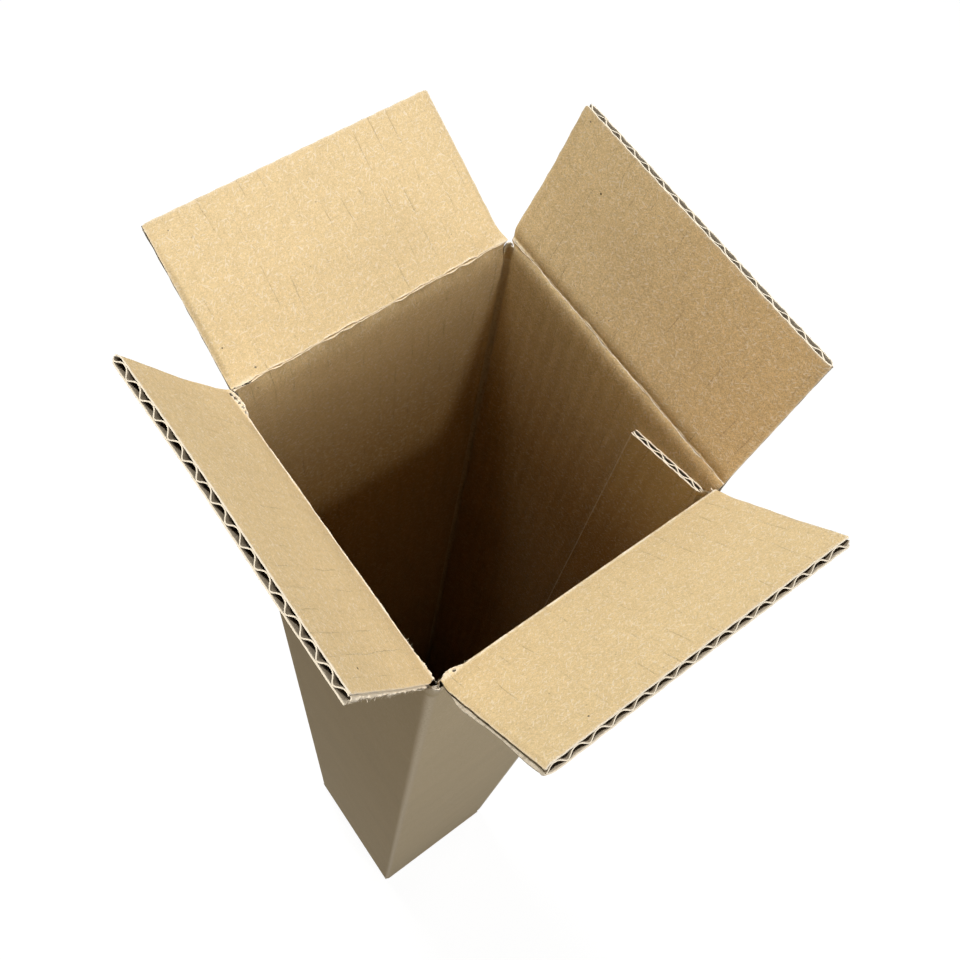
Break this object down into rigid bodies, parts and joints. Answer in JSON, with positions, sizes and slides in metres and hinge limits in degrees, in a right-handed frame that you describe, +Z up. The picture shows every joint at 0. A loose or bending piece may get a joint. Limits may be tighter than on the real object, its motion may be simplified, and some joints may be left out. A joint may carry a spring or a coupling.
{
  "type": "cardboard carton",
  "caption": "Tall square kraft carton of single-wall corrugated board, closed and glued at the base, with open hinged top flaps and an inside glue tab.",
  "frame": {"origin": "centre of the base, on the surface that the carton stands on", "axes": "+Z up along the carton's height, +X towards the right wall with the inside glue tab, +Y towards the rear wall"},
  "size_m": [0.1517, 0.1897, 0.825],
  "materials": {
    "board": "matte kraft paper"
  },
  "bodies": {
    "carton": {"carton": "board"},
    "rear_flap": {"rear_flap": "board"},
    "front_flap": {"front_flap": "board"},
    "right_flap": {"right_flap": "board"},
    "left_flap": {"left_flap": "board"}
  },
  "joints": [
    {"name": "rear_flap_hinge", "type": "hinge", "parent": "carton", "child": "rear_flap", "pos_m": [0, 0.0538, 0.771], "axis": [1, 0, 0], "range_deg": [-116, 149]},
    {"name": "front_flap_hinge", "type": "hinge", "parent": "carton", "child": "front_flap", "pos_m": [0, -0.0538, 0.771], "axis": [-1, 0, 0], "range_deg": [-132, 133]},
    {"name": "right_flap_hinge", "type": "hinge", "parent": "carton", "child": "right_flap", "pos_m": [0.0538, 0, 0.7742], "axis": [0, -1, 0], "range_deg": [-154, 111]},
    {"name": "left_flap_hinge", "type": "hinge", "parent": "carton", "child": "left_flap", "pos_m": [-0.0538, 0, 0.7742], "axis": [0, 1, 0], "range_deg": [-147, 118]}
  ]
}
